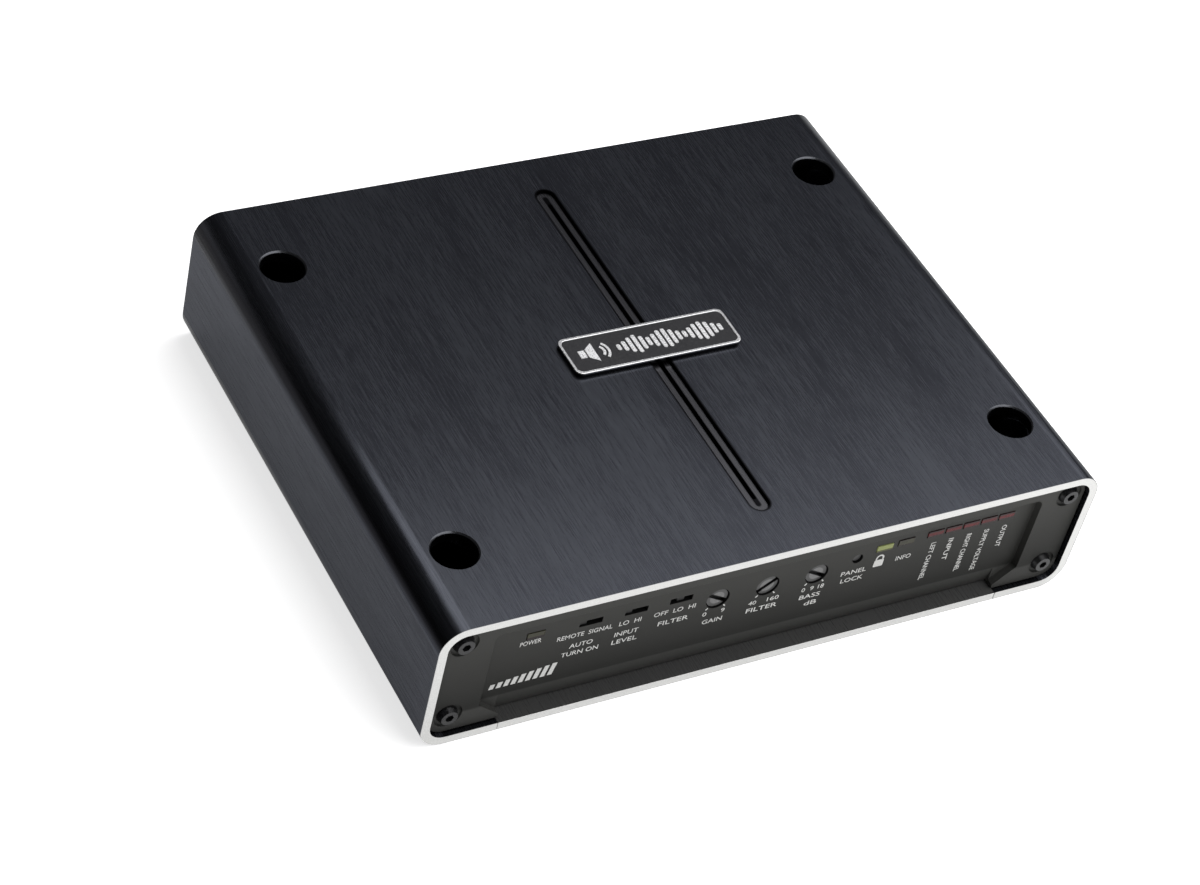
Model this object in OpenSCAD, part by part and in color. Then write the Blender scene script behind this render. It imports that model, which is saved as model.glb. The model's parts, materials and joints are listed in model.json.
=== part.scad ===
// Compact two-channel car amplifier.
// Frame: +Z up, origin at the centre of the underside.
// The control panel faces -Y, the connection panel faces +Y.

/* [Chassis] */
// Width of the extruded chassis across X
chassis_w = 186; // [184:1:196]
// Depth of the chassis along Y
chassis_d = 149; // [147:1:156]
// Height of the chassis
chassis_h = 40; // [39:0.5:42]
// Outer corner radius of the extrusion
corner_r = 7; // [6:0.5:8]
// Thickness of the side walls and of the bottom flanges
wall = 2.4; // [2.2:0.1:2.6]
// Thickness of the top wall between the end pockets
top_wall = 3.2; // [3:0.1:3.4]
// Depth of the pocket in each end that takes a panel
end_pocket = 5.5; // [5.4:0.1:5.8]

/* [Mounting holes] */
// Distance from each end to the mounting screws
mount_inset_y = 23.5; // [22:0.5:26]
// Distance from each side to the mounting screws
mount_inset_x = 14; // [13.6:0.1:14.4]
// Radius of the access bore in the top wall
access_r = 5.75; // [5:0.05:5.75]
// Radius of the screw hole in the bottom flange
mount_hole_r = 2.6; // [2.2:0.1:2.8]

/* [Top groove and badge] */
// Width of the shallow groove along the top
groove_w = 5.4; // [4:0.1:6]
// Depth of the shallow groove
groove_depth = 0.8; // [0.4:0.1:1]
// Width of the slot along the groove's floor
slot_w = 1.2; // [0.8:0.1:2]
// Depth of the slot below the groove's floor
slot_depth = 1.2; // [0.8:0.1:1.4]
// Length of the badge across X
badge_l = 48; // [40:0.5:60]
// Width of the badge along Y
badge_w = 13; // [10:0.5:16]
// Height of the badge above the top wall
badge_t = 1.4; // [1.2:0.1:1.8]

/* [Panels] */
// Thickness of the end panels
panel_t = 4; // [3.8:0.1:4]
// Gap between a panel's rim and its pocket
panel_gap = 0.3; // [0.2:0.05:0.4]
// Depth of the recess in the control panel
recess_depth = 2; // [1.5:0.1:2.2]
// Half width of the recess
recess_half_w = 77.5; // [76:0.5:78]
// Height of the recess's upper edge above the underside
recess_top = 33.3; // [32.5:0.1:34]

/* [Controls] */
// Radius of the screwdriver-slotted dials
dial_r = 2.9; // [2.6:0.1:3]
// Distance between a slide switch's end positions
switch_travel = 4; // [3:0.1:4]
// Radius of the panel-lock button
button_r = 1.2; // [1:0.05:1.3]

/* [Terminals] */
// Distance between speaker terminals
speaker_pitch = 9; // [9:0.1:9.2]
// Distance between power terminals
power_pitch = 11; // [11:0.1:11.2]
// Radius of a terminal screw's head
screw_head_r = 3; // [2.8:0.1:3.2]

/* [Hidden] */
$fn = 64;
eps = 0.5;

half_w = chassis_w / 2;
half_d = chassis_d / 2;
chamber_x1 = half_w - wall;
web_outer_x = half_w - 20;
web_inner_x = web_outer_x - 3;
ledge_x = web_inner_x - 6;
ledge_z = 7;
cover_half_w = half_w - 21;
cover_gap = 0.15;
ceiling_z = chassis_h - top_wall;
inner_r = corner_r - wall;
pocket_y = half_d - end_pocket;

groove_y = [-half_d + 14, half_d - 12.5];
slot_y = [-half_d + 18.5, half_d - 17.5];
badge_corner_r = 2;

mount_x = half_w - mount_inset_x;
mount_y = half_d - mount_inset_y;
access_chamfer = 0.4;

panel_face_y = pocket_y + panel_t;
panel_edge_x = chamber_x1 - panel_gap;
panel_bottom_z = wall + panel_gap;
panel_top_z = chassis_h - wall - panel_gap;
panel_screw_x = half_w - 7.5;
panel_screw_z = [8.2, chassis_h - 7.2];
counterbore_r = 3.7;
counterbore_depth = 0.6;
recess_floor_y = panel_face_y - recess_depth;
recess_foot_half_w = recess_half_w - 6;

board_t = 1.6;
board_z = chassis_h - 10;
board_top_z = board_z + board_t;
board_half_w = web_inner_x - 1.2;
board_y = [-pocket_y + 0.8, pocket_y - 2.5];
board_screw_x = 56;
board_screw_y = 44;
board_boss_r = 3.2;
web_mid_x = (web_inner_x + web_outer_x) / 2;
cover_screw_x = cover_half_w - 5;
cover_screw_y = [-half_d + 14.5, 0, half_d - 14.5];

m3_clear_r = 1.6;
m3_thread_r = 1.25;
m3_shank_r = 1.2;
m3_head_r = 2.75;
m3_countersink_r = 2.8;

// Control positions on the front panel, as x and z
dial_places = [[-14.8, 23.9], [-0.7, 24], [13.5, 23.8]];
// Angle of each dial's slot at rest, clockwise from level as seen from the front
dial_rest = [31, -34, 31];
switch_places = [[-50.3, 27.1], [-38, 27.1], [-25.7, 27.1]];
// Lever offset at rest: left end, left end, middle
switch_rest = [-1, -1, 0];
button_place = [24.9, 25.8];
// Gap round the dials and the button where they pass through the panel
control_gap = 0.3;
slot_size = [switch_travel + 2.2, 1.8];
indicator_places = [[-65.1, 27.5], [32.4, 27.6], [38.7, 27.9]];
level_places = [for (i = [0 : 4]) [47.4 + 5.4 * i, 28.3]];
// Half sizes in X and Z of every flat lens
lens_half = [2.3, 1];

// Connections on the rear panel
rca_places = [[62, 18], [49, 18]];
rca_well_r = 6.2;
rca_shell_r = 4.15;
rca_bore_r = 3.65;
rca_socket_r = 2;
remote_place = [34.5, 20.5];
remote_opening = [10, 7];
terminal_z = 19;
terminal_half_h = 8;
terminal_back_y = pocket_y - 11;
block_face_y = panel_face_y + 0.4;
block_end_wall = 0.5;
speaker_first_x = 21.5;
power_first_x = -41;
plate_y = pocket_y - 4;
plate_t = 1;
// Air under each washer at rest, and between the washer and the head
washer_gap = 0.1;
head_gap = 0.05;
washer_t = 0.8;
head_t = 2.4;
terminal_screw_r = 1.75;
fuse_place_x = -23;
fuse_places_z = [12.5, 23.5];
fuse_size = [19.2, 7.4, 5.2];
fuse_seat_y = pocket_y - 3;
fuse_blade_len = 8;
fuse_blade_x = 6.8;
fuse_blade_half_w = 2.6;
fuse_back_y = pocket_y - 13;
fuse_wall = 1.1;

transistor_y = [-45, -15, 15, 45];
transistor_z = [10, 25.8];
clamp_screw_y = [-30, 30];
clamp_z = [18, 24];
clamp_centre_z = (clamp_z[0] + clamp_z[1]) / 2;
pad_t = 0.5;
transistor_half_w = 5;
transistor_t = 4.5;

// The two toroids: centre x, centre y, inner radius, outer radius, height
transformer = [-30, 8, 8.5, 15.5, 11];
chokes = [[30, 14, 4.5, 8.5, 8], [50, 14, 4.5, 8.5, 8]];

terminal_names = concat(
    [for (i = [1:4]) str("speaker_", i)],
    [for (i = [1:3]) str("power_", i)]
);

// ---- shared shapes ----

// Box from its lowest to its highest corner
module block(low, high) {
    translate(low)
        cube([high[0] - low[0], high[1] - low[1], high[2] - low[2]]);
}

// Box mirrored to both sides of the YZ plane
module block_pair(low, high) {
    block(low, high);
    mirror([1, 0, 0])
        block(low, high);
}

// Flat outline in X and Z, extruded between two Y positions
module along_y(y0, y1) {
    translate([0, y1, 0])
        rotate([90, 0, 0])
            linear_extrude(y1 - y0)
                children();
}

// Round rod along Y at x, z
module rod_y(r, y0, y1, place) {
    translate([place[0], y1, place[1]])
        rotate([90, 0, 0])
            cylinder(r = r, h = y1 - y0);
}

// Round rod along X from x0 to x1
module rod_x(r, x0, x1, y, z) {
    translate([x0, y, z])
        rotate([0, 90, 0])
            cylinder(r = r, h = x1 - x0);
}

// Box centred on place in X and Z, with half sizes, between two Y positions
module face_box(place, half, y) {
    block(
        [place[0] - half[0], y[0], place[1] - half[1]],
        [place[0] + half[0], y[1], place[1] + half[1]]
    );
}

// Rectangle with four round corners, as a flat outline
module round_rect(x0, x1, z0, z1, r) {
    translate([x0 + r, z0])
        square([x1 - x0 - 2 * r, z1 - z0]);
    translate([x0, z0 + r])
        square([x1 - x0, z1 - z0 - 2 * r]);
    for (x = [x0 + r, x1 - r], z = [z0 + r, z1 - r])
        translate([x, z])
            circle(r);
}

// Slot outline with round ends, along Y between the two ends
module slot_outline(w, ends) {
    translate([-w / 2, ends[0] + w / 2])
        square([w, ends[1] - ends[0] - w]);
    for (y = [ends[0] + w / 2, ends[1] - w / 2])
        translate([0, y])
            circle(w / 2);
}

// Every pair of signs, for pieces at four corners
corners = [for (sx = [-1, 1], sy = [-1, 1]) [sx, sy]];

// ---- casing ----

module chassis_outline() {
    difference() {
        round_rect(-half_w, half_w, 0, chassis_h, corner_r);
        // Central channel, open underneath, with the cover's seat
        translate([-web_inner_x, ledge_z])
            square([2 * web_inner_x, ceiling_z - ledge_z]);
        translate([-ledge_x, wall - eps])
            square([2 * ledge_x, ledge_z + 2 * eps]);
        translate([-cover_half_w, -eps])
            square([2 * cover_half_w, wall + eps]);
        // Box chambers along both sides
        for (side = [0, 1])
            mirror([side, 0])
                side_chamber_outline();
    }
}

module side_chamber_outline() {
    boss_r = 4;
    difference() {
        round_rect(web_outer_x, chamber_x1, wall, ceiling_z, inner_r);
        // Screw channels joined to the chamber's outer corners
        for (z = panel_screw_z)
            translate([panel_screw_x, z])
                circle(boss_r);
        for (z = [0, panel_screw_z[1]])
            translate([panel_screw_x, z])
                square([2 * boss_r, panel_screw_z[0]]);
    }
}

module chassis() {
    thread_half_l = 2.5;
    thread_depth = 5;
    color([0.24, 0.24, 0.26])
    difference() {
        union() {
            along_y(-half_d, half_d)
                chassis_outline();
            for (c = corners)
                translate([c[0] * board_screw_x, c[1] * board_screw_y, board_top_z])
                    cylinder(r = board_boss_r, h = ceiling_z - board_top_z + eps);
        }
        // Pockets for the two end panels
        for (y = [-half_d - eps, pocket_y])
            along_y(y, y + end_pocket + eps)
                round_rect(-chamber_x1, chamber_x1, wall, chassis_h - wall, inner_r);
        // Self-tapping channels for the panel screws
        for (side = [-1, 1], z = panel_screw_z)
            rod_y(m3_thread_r, -half_d, half_d, [side * panel_screw_x, z]);
        // Mounting screws: access bore, chamfer and flange hole
        for (c = corners)
            translate([c[0] * mount_x, c[1] * mount_y, 0]) {
                translate([0, 0, -eps])
                    cylinder(r = mount_hole_r, h = wall + 2 * eps);
                translate([0, 0, wall])
                    cylinder(r = access_r, h = chassis_h);
                translate([0, 0, chassis_h - access_chamfer])
                    cylinder(
                        r1 = access_r,
                        r2 = access_r + 2 * access_chamfer,
                        h = 2 * access_chamfer
                    );
            }
        // Groove along the top with a narrow slot in its floor
        translate([0, 0, chassis_h - groove_depth])
            linear_extrude(2 * groove_depth)
                slot_outline(groove_w, groove_y);
        translate([0, 0, chassis_h - groove_depth - slot_depth])
            linear_extrude(slot_depth + groove_depth)
                slot_outline(slot_w, slot_y);
        // Threads for the cover, board and clamp screws
        for (side = [-1, 1], y = cover_screw_y)
            translate([side * cover_screw_x, y, wall - eps])
                cylinder(r = m3_thread_r, h = ledge_z);
        for (c = corners)
            translate([c[0] * board_screw_x, c[1] * board_screw_y, board_top_z - eps])
                cylinder(r = m3_thread_r, h = thread_depth + eps);
        for (side = [-1, 1], y = clamp_screw_y)
            rod_x(
                m3_thread_r,
                side * web_mid_x - thread_half_l,
                side * web_mid_x + thread_half_l,
                y,
                clamp_centre_z
            );
    }
}

module bottom_cover() {
    edge_x = cover_half_w - cover_gap;
    seat_gap = 0.05;
    countersink_r = 3;
    countersink_depth = 1.4;
    color([0.22, 0.22, 0.23])
    difference() {
        block([-edge_x, -half_d, 0], [edge_x, half_d, wall - seat_gap]);
        for (side = [-1, 1], y = cover_screw_y)
            translate([side * cover_screw_x, y, 0]) {
                translate([0, 0, -eps])
                    cylinder(r = m3_clear_r, h = wall + 2 * eps);
                translate([0, 0, -0.01])
                    cylinder(r1 = countersink_r, r2 = m3_clear_r, h = countersink_depth);
            }
    }
}

module panel_outline() {
    round_rect(-panel_edge_x, panel_edge_x, panel_bottom_z, panel_top_z, inner_r - panel_gap);
}

// Panel blank with its four counterbored screw holes; face is +1 for the rear and -1 for the front
module panel_blank(face) {
    y0 = face > 0 ? pocket_y : -panel_face_y;
    ends = [face * (panel_face_y - counterbore_depth), face * half_d];
    difference() {
        along_y(y0, y0 + panel_t)
            panel_outline();
        for (side = [-1, 1], z = panel_screw_z) {
            rod_y(m3_clear_r, y0 - eps, y0 + panel_t + eps, [side * panel_screw_x, z]);
            rod_y(counterbore_r, min(ends), max(ends), [side * panel_screw_x, z]);
        }
    }
}

// Recess of the control panel: round upper corners, slanted lower ones, open at the bottom
module recess_outline() {
    upper_r = 2;
    slant_top_z = 9;
    slant_bottom_z = 4;
    round_rect(-recess_half_w, recess_half_w, slant_top_z, recess_top, upper_r);
    polygon([
        [-recess_half_w, slant_top_z + 2 * upper_r],
        [-recess_half_w, slant_top_z],
        [-recess_foot_half_w, slant_bottom_z],
        [-recess_foot_half_w, 0],
        [recess_foot_half_w, 0],
        [recess_foot_half_w, slant_bottom_z],
        [recess_half_w, slant_top_z],
        [recess_half_w, slant_top_z + 2 * upper_r]
    ]);
}

module front_panel() {
    slope_top_z = 8.5;
    slope_depth = 1.2;
    lens_gap = 0.1;
    color([0.2, 0.2, 0.19])
    difference() {
        panel_blank(-1);
        along_y(-half_d, -recess_floor_y)
            recess_outline();
        // The recess's floor slopes inwards along its lower edge
        rotate([90, 0, 90])
            translate([0, 0, -recess_foot_half_w])
                linear_extrude(2 * recess_foot_half_w)
                    polygon([
                        [-recess_floor_y - eps, slope_top_z],
                        [-recess_floor_y, slope_top_z],
                        [-recess_floor_y + slope_depth, panel_bottom_z - eps],
                        [-recess_floor_y - eps, panel_bottom_z - eps]
                    ]);
        for (place = dial_places)
            rod_y(dial_r + control_gap, -half_d, -pocket_y + eps, place);
        for (place = switch_places)
            panel_window(-1, place, slot_size);
        rod_y(button_r + control_gap, -half_d, -pocket_y + eps, button_place);
        for (place = concat(indicator_places, level_places))
            face_box(place, lens_half + lens_gap * [1, 1], [-half_d, -pocket_y + eps]);
    }
}

// Rectangular hole through a panel, centred on place; face is the panel's side
module panel_window(face, place, size) {
    y0 = face > 0 ? pocket_y : -half_d;
    translate([place[0] - size[0] / 2, y0 - eps, place[1] - size[1] / 2])
        cube([size[0], end_pocket + 2 * eps, size[1]]);
}

module rear_panel() {
    fit = 0.15;
    jack_fit = 0.3;
    fuse_fit = 0.1;
    well_fit = 0.1;
    terminal_h = 2 * (terminal_half_h + fit);
    speaker_l = 4 * speaker_pitch + 2 * (block_end_wall + fit);
    power_l = 3 * power_pitch + 2 * (block_end_wall + fit);
    speaker_mid = speaker_first_x - 1.5 * speaker_pitch;
    power_mid = power_first_x - power_pitch;
    fuse_hole = [fuse_size[0], fuse_size[2]] + 2 * (fuse_wall + fuse_fit) * [1, 1];
    color([0.2, 0.2, 0.19])
    difference() {
        panel_blank(1);
        for (place = rca_places)
            rod_y(rca_well_r + well_fit, pocket_y - eps, half_d, place);
        panel_window(1, remote_place, remote_opening + 2 * [jack_fit, jack_fit]);
        panel_window(1, [speaker_mid, terminal_z], [speaker_l, terminal_h]);
        panel_window(1, [power_mid, terminal_z], [power_l, terminal_h]);
        for (z = fuse_places_z)
            panel_window(1, [fuse_place_x, z], fuse_hole);
    }
}

module badge_outline(inset) {
    half_l = badge_l / 2 - inset;
    half_h = badge_w / 2 - inset;
    round_rect(-half_l, half_l, -half_h, half_h, badge_corner_r - inset / 2);
}

badge_rim_w = 0.8;

module badge_rim() {
    color([0.82, 0.82, 0.83])
    translate([0, 0, chassis_h])
        difference() {
            linear_extrude(badge_t)
                badge_outline(0);
            translate([0, 0, badge_t / 2])
                linear_extrude(badge_t)
                    badge_outline(badge_rim_w);
        }
}

module badge_plate() {
    edge_gap = 0.05;
    below_rim = 0.2;
    color([0.04, 0.04, 0.05])
    translate([0, 0, chassis_h + badge_t / 2])
        linear_extrude(badge_t / 2 - below_rim)
            badge_outline(badge_rim_w + edge_gap);
}

// ---- fasteners ----

// Button-head screw along Z, its head from 0 down and its shank upwards, with a hex socket
module button_screw(shank_len, head_h) {
    socket_r = 1.15;
    socket_depth = 1;
    head_taper = 0.6;
    difference() {
        union() {
            translate([0, 0, -head_h])
                cylinder(r1 = m3_head_r - head_taper, r2 = m3_head_r, h = head_h);
            cylinder(r = m3_shank_r, h = shank_len);
        }
        translate([0, 0, -head_h - eps])
            cylinder(r = socket_r, h = socket_depth + eps, $fn = 6);
    }
}

module panel_screws(face) {
    seat_y = panel_face_y - counterbore_depth;
    shank_len = 10;
    head_h = 1.6;
    for (side = [-1, 1], z = panel_screw_z)
        translate([side * panel_screw_x, face * seat_y, z])
            rotate([face * 90, 0, 0])
                button_screw(shank_len, head_h);
}

module front_panel_screws() {
    color([0.08, 0.08, 0.08])
        panel_screws(-1);
}

module rear_panel_screws() {
    color([0.08, 0.08, 0.08])
        panel_screws(1);
}

// Countersunk screws, their heads just inside the cover's surface
module bottom_cover_screws() {
    sunk = 0.1;
    head_h = 1.3;
    shank_len = 6;
    socket_r = 1;
    socket_depth = 0.9;
    color([0.08, 0.08, 0.08])
    for (side = [-1, 1], y = cover_screw_y)
        translate([side * cover_screw_x, y, sunk])
            difference() {
                union() {
                    cylinder(r1 = m3_countersink_r, r2 = m3_shank_r, h = head_h);
                    cylinder(r = m3_shank_r, h = shank_len);
                }
                translate([0, 0, -eps])
                    cylinder(r = socket_r, h = socket_depth + eps, $fn = 6);
            }
}

module board_screws() {
    shank_len = 6;
    head_h = 2;
    color([0.7, 0.7, 0.72])
    for (c = corners)
        translate([c[0] * board_screw_x, c[1] * board_screw_y, board_z])
            button_screw(shank_len, head_h);
}

module clamp_screws() {
    head_x = web_inner_x - 7;
    shank_len = 9.5;
    head_h = 2;
    color([0.7, 0.7, 0.72])
    for (side = [-1, 1], y = clamp_screw_y)
        translate([side * head_x, y, clamp_centre_z])
            rotate([0, side * 90, 0])
                button_screw(shank_len, head_h);
}

// ---- circuit board and what is soldered to it ----

module main_board() {
    color([0.06, 0.28, 0.14])
    difference() {
        block([-board_half_w, board_y[0], board_z], [board_half_w, board_y[1], board_top_z]);
        for (c = corners)
            translate([c[0] * board_screw_x, c[1] * board_screw_y, board_z - eps])
                cylinder(r = m3_clear_r, h = board_t + 2 * eps);
    }
}

// Flat power package standing against the side web, legs up into the board
module power_transistor() {
    tab_x = web_inner_x - pad_t;
    tab_t = 1.3;
    tab_len = 6.5;
    tab_hole = [1.8, 3];
    epoxy_x = tab_x - transistor_t;
    w = transistor_half_w;
    leg_pitch = 2.5;
    leg_half_w = 0.4;
    leg_x = [epoxy_x + 1.6, epoxy_x + 2.2];
    difference() {
        union() {
            block([tab_x - tab_t, -w, transistor_z[0]], [tab_x, w, transistor_z[1]]);
            block([epoxy_x, -w, transistor_z[0] + tab_len], [tab_x, w, transistor_z[1]]);
            for (leg = [-leg_pitch, 0, leg_pitch])
                block(
                    [leg_x[0], leg - leg_half_w, transistor_z[1] - eps],
                    [leg_x[1], leg + leg_half_w, board_z]
                );
        }
        rod_x(tab_hole[0], tab_x - 2 * tab_t, tab_x + 1, 0, transistor_z[0] + tab_hole[1]);
    }
}

module power_transistors() {
    color([0.1, 0.1, 0.1])
    for (side = [0, 1], y = transistor_y)
        mirror([side, 0, 0])
            translate([0, y, 0])
                power_transistor();
}

row_end_y = transistor_y[3] + transistor_half_w + 2;

module thermal_pads() {
    pad_z = [transistor_z[0] - 1, transistor_z[1] + 1.2];
    color([0.55, 0.6, 0.62])
    difference() {
        block_pair([web_inner_x - pad_t, -row_end_y, pad_z[0]], [web_inner_x, row_end_y, pad_z[1]]);
        for (side = [-1, 1], y = clamp_screw_y)
            rod_x(m3_clear_r, side * web_inner_x - 1, side * web_inner_x + 1, y, clamp_centre_z);
    }
}

module clamp_bars() {
    bar_t = 2;
    bar_x = web_inner_x - pad_t - transistor_t;
    mid_x = bar_x - bar_t / 2;
    color([0.62, 0.63, 0.65])
    difference() {
        block_pair([bar_x - bar_t, -row_end_y, clamp_z[0]], [bar_x, row_end_y, clamp_z[1]]);
        for (side = [-1, 1], y = clamp_screw_y)
            rod_x(m3_clear_r, side * mid_x - bar_t, side * mid_x + bar_t, y, clamp_centre_z);
    }
}

// Ring of rectangular section hanging below the board; grow is the winding's thickness
module toroid(ring, grow) {
    top_z = board_z - 1;
    translate([ring[0], ring[1], top_z - ring[4] - grow])
        difference() {
            cylinder(r = ring[3] + grow, h = ring[4] + 2 * grow);
            translate([0, 0, -eps])
                cylinder(r = ring[2] - grow, h = ring[4] + 2 * grow + 2 * eps);
        }
}

// Copper over a core, left open across two gaps
module toroid_winding(ring) {
    wire = 1;
    core_gap = 0.02;
    split_half_w = 1.5;
    reach = ring[3] + 2 * wire;
    difference() {
        toroid(ring, wire);
        toroid(ring, core_gap);
        translate([ring[0], ring[1], 0])
            block([-split_half_w, -reach, 0], [split_half_w, reach, board_z + 1]);
    }
}

module transformer_core() {
    color([0.18, 0.2, 0.18])
        toroid(transformer, 0);
}

module transformer_winding() {
    color([0.72, 0.36, 0.16])
        toroid_winding(transformer);
}

module choke_cores() {
    color([0.75, 0.7, 0.2])
    for (ring = chokes)
        toroid(ring, 0);
}

module choke_windings() {
    color([0.72, 0.36, 0.16])
    for (ring = chokes)
        toroid_winding(ring);
}

// Can capacitor hanging below the board, with a crimped waist
module capacitor(x, y, r, h) {
    waist_z = 3;
    waist_h = 1;
    waist_depth = 0.6;
    translate([x, y, board_z - h])
        difference() {
            cylinder(r = r, h = h);
            translate([0, 0, h - waist_z])
                difference() {
                    cylinder(r = r + 1, h = waist_h);
                    translate([0, 0, -eps])
                        cylinder(r = r - waist_depth, h = waist_h + 2 * eps);
                }
        }
}

module input_capacitors() {
    row_y = 42;
    can_r = 8;
    can_h = 22;
    color([0.1, 0.12, 0.2])
    for (x = [-41, -24, -7])
        capacitor(x, row_y, can_r, can_h);
}

module rail_capacitors() {
    row_y = 40;
    can_r = 6.5;
    can_h = 20;
    color([0.1, 0.12, 0.2])
    for (x = [11, 25, 39])
        capacitor(x, row_y, can_r, can_h);
}

module control_chips() {
    row_y = -34;
    half_l = 5;
    half_deep = 4;
    chip_t = 2;
    color([0.07, 0.07, 0.07])
    for (x = [-30, -8, 14])
        block(
            [x - half_l, row_y - half_deep, board_z - chip_t],
            [x + half_l, row_y + half_deep, board_z]
        );
}

// ---- controls on the front ----

dial_body_y = [-pocket_y + 0.8, -pocket_y + 7.5];
dial_floor_y = dial_body_y[1] - 2;
turning_gap = 0.05;

module dial_bodies() {
    half_l = 4.8;
    foot = 5.5;
    color([0.12, 0.16, 0.3])
    difference() {
        for (place = dial_places)
            block(
                [place[0] - half_l, dial_body_y[0], place[1] - foot],
                [place[0] + half_l, dial_body_y[1], board_z]
            );
        for (place = dial_places)
            rod_y(dial_r + turning_gap, dial_body_y[0] - eps, dial_floor_y, place);
    }
}

// Slotted adjuster turning about its own axis along Y
module dial(i) {
    place = dial_places[i];
    face_y = -recess_floor_y + 0.4;
    floor_gap = 0.1;
    cut_depth = 1;
    cut_half_w = 0.6;
    color([0.3, 0.3, 0.31])
    difference() {
        rod_y(dial_r, face_y, dial_floor_y - floor_gap, place);
        translate([place[0], face_y, place[1]])
            rotate([0, dial_rest[i], 0])
                block([-dial_r - 1, -eps, -cut_half_w], [dial_r + 1, cut_depth, cut_half_w]);
    }
}

module gain_dial() {
    dial(0);
}

module crossover_dial() {
    dial(1);
}

module boost_dial() {
    dial(2);
}

switch_body_y = [-pocket_y + 0.6, -pocket_y + 6];
// Half sizes in X and Z of the lever, and of the shoe that runs inside the switch
lever_half = [1, 0.7];
shoe_half = [2, 1.5];
slider_gap = 0.3;

module switch_bodies() {
    run = [switch_travel / 2 + slider_gap, slider_gap];
    body_half = [switch_travel / 2 + 4, 2.9];
    shell = 1;
    lever_floor_y = switch_body_y[0] + shell + eps;
    color([0.1, 0.1, 0.1])
    for (place = switch_places)
        difference() {
            block(
                [place[0] - body_half[0], switch_body_y[0], place[1] - body_half[1]],
                [place[0] + body_half[0], switch_body_y[1], board_z]
            );
            // Lever slot, then the chamber that the shoe runs in
            face_box(place, lever_half + run, [switch_body_y[0] - eps, lever_floor_y]);
            face_box(place, shoe_half + run, switch_body_y + [shell, -shell]);
        }
}

// Slider with its lever, offset along X by its rest position
module switch_slider(i) {
    place = switch_places[i] + [switch_rest[i] * switch_travel / 2, 0];
    tip_y = -recess_floor_y + 0.5;
    shoe_y = [switch_body_y[0] + 1 + slider_gap, switch_body_y[1] - 1 - slider_gap];
    color([0.75, 0.75, 0.73]) {
        face_box(place, lever_half, [tip_y, shoe_y[0] + eps]);
        face_box(place, shoe_half, shoe_y);
    }
}

module turn_on_switch() {
    switch_slider(0);
}

module input_level_switch() {
    switch_slider(1);
}

module crossover_switch() {
    switch_slider(2);
}

lock_body_y = [-pocket_y + 0.8, -pocket_y + 6];
// Where the button's collar runs inside its switch, along Y
collar_room_y = [lock_body_y[0] + 1, lock_body_y[0] + 3.4];

module lock_switch_body() {
    half_l = 3;
    x = button_place[0];
    z = button_place[1];
    color([0.1, 0.1, 0.1])
    difference() {
        block([x - half_l, lock_body_y[0], z - half_l], [x + half_l, lock_body_y[1], board_z]);
        rod_y(button_r + turning_gap, lock_body_y[0] - eps, collar_room_y[0] + eps, button_place);
        rod_y(button_r + 1, collar_room_y[0], collar_room_y[1], button_place);
    }
}

// Push button with the collar that keeps it in its switch
module lock_button() {
    collar_y = collar_room_y[0] + 0.05;
    collar_t = 1;
    tip_y = -recess_floor_y + 0.6;
    color([0.05, 0.05, 0.05]) {
        rod_y(button_r, tip_y, collar_y + collar_t, button_place);
        rod_y(button_r + 0.7, collar_y, collar_y + collar_t, button_place);
    }
}

// Flat lens in the panel, with a narrower light guide back to its own lamp on the board
module lamp(place) {
    guide_x = [-2.3, 0.3];
    guide_half_h = 0.9;
    lamp_foot = 1.6;
    lens_y = [-recess_floor_y - 0.2, -pocket_y - 0.1];
    lamp_y = [-pocket_y + 1, -pocket_y + 4];
    x0 = place[0] + guide_x[0];
    x1 = place[0] + guide_x[1];
    face_box(place, lens_half, lens_y);
    block(
        [x0, lens_y[1] - 0.4, place[1] - guide_half_h],
        [x1, lamp_y[0] + 0.2, place[1] + guide_half_h]
    );
    block([x0, lamp_y[0], place[1] - lamp_foot], [x1, lamp_y[1], board_z]);
}

module indicator_leds() {
    color([0.75, 0.8, 0.2])
    for (place = indicator_places)
        lamp(place);
}

module level_leds() {
    color([0.45, 0.05, 0.06])
    for (place = level_places)
        lamp(place);
}

// ---- connections at the rear ----

well_floor_y = pocket_y - 6;
socket_back_y = pocket_y - 8;
rear_gap = 0.1;

module rca_housing() {
    side_wall = 6.9;
    foot = 7.5;
    core_y1 = pocket_y + 3;
    color([0.08, 0.08, 0.08])
    difference() {
        block(
            [rca_places[1][0] - side_wall, socket_back_y - 1, rca_places[0][1] - foot],
            [rca_places[0][0] + side_wall, pocket_y - rear_gap, board_z]
        );
        for (place = rca_places)
            difference() {
                rod_y(rca_well_r, well_floor_y, pocket_y, place);
                rod_y(rca_bore_r, well_floor_y - 1, pocket_y + 1, place);
            }
        for (place = rca_places)
            rod_y(rca_socket_r, socket_back_y, pocket_y + 1, place);
    }
    // Insulating core that carries each centre socket
    color([0.85, 0.85, 0.82])
    for (place = rca_places)
        difference() {
            rod_y(rca_bore_r, pocket_y - eps - rear_gap, core_y1, place);
            rod_y(rca_socket_r, pocket_y - 1, core_y1 + 1, place);
        }
}

module rca_shells() {
    mouth_y = pocket_y + 3.5;
    core_gap = 0.05;
    color([0.83, 0.68, 0.3])
    for (place = rca_places)
        difference() {
            rod_y(rca_shell_r, well_floor_y, mouth_y, place);
            rod_y(rca_bore_r + core_gap, well_floor_y - 1, mouth_y + 1, place);
        }
}

module rca_sockets() {
    mouth_y = pocket_y + 2.8;
    pin_r = 1.6;
    color([0.83, 0.68, 0.3])
    for (place = rca_places)
        difference() {
            rod_y(rca_socket_r, socket_back_y, mouth_y, place);
            rod_y(pin_r, well_floor_y, mouth_y + 1, place);
        }
}

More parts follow.
